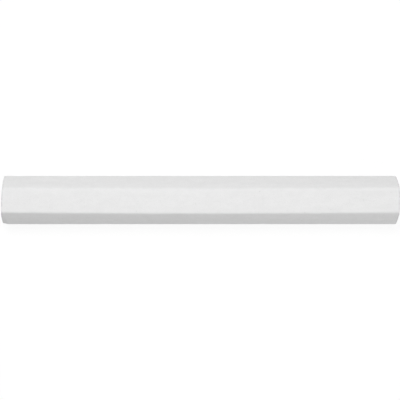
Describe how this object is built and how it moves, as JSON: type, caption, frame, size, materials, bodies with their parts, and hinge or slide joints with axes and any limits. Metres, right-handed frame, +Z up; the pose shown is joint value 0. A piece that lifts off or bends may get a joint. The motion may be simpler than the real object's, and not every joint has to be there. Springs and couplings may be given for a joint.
{
  "type": "chalk stick",
  "caption": "Pressed white chalk for marking and drawing: a straight hexagonal stick with softly rounded long edges and plain cut ends.",
  "frame": {"origin": "middle of the facet that the stick lies on, halfway along its length", "axes": "+X along the stick, towards its square end; +Z up, out of the facet opposite the resting one; the end with the worn corner is at -X, and the worn corner is on its -Y side"},
  "size_m": [0.1181, 0.0144, 0.0127],
  "materials": {
    "white_chalk": "matte"
  },
  "bodies": {
    "root": {"chalk_stick": "white_chalk"}
  },
  "joints": []
}
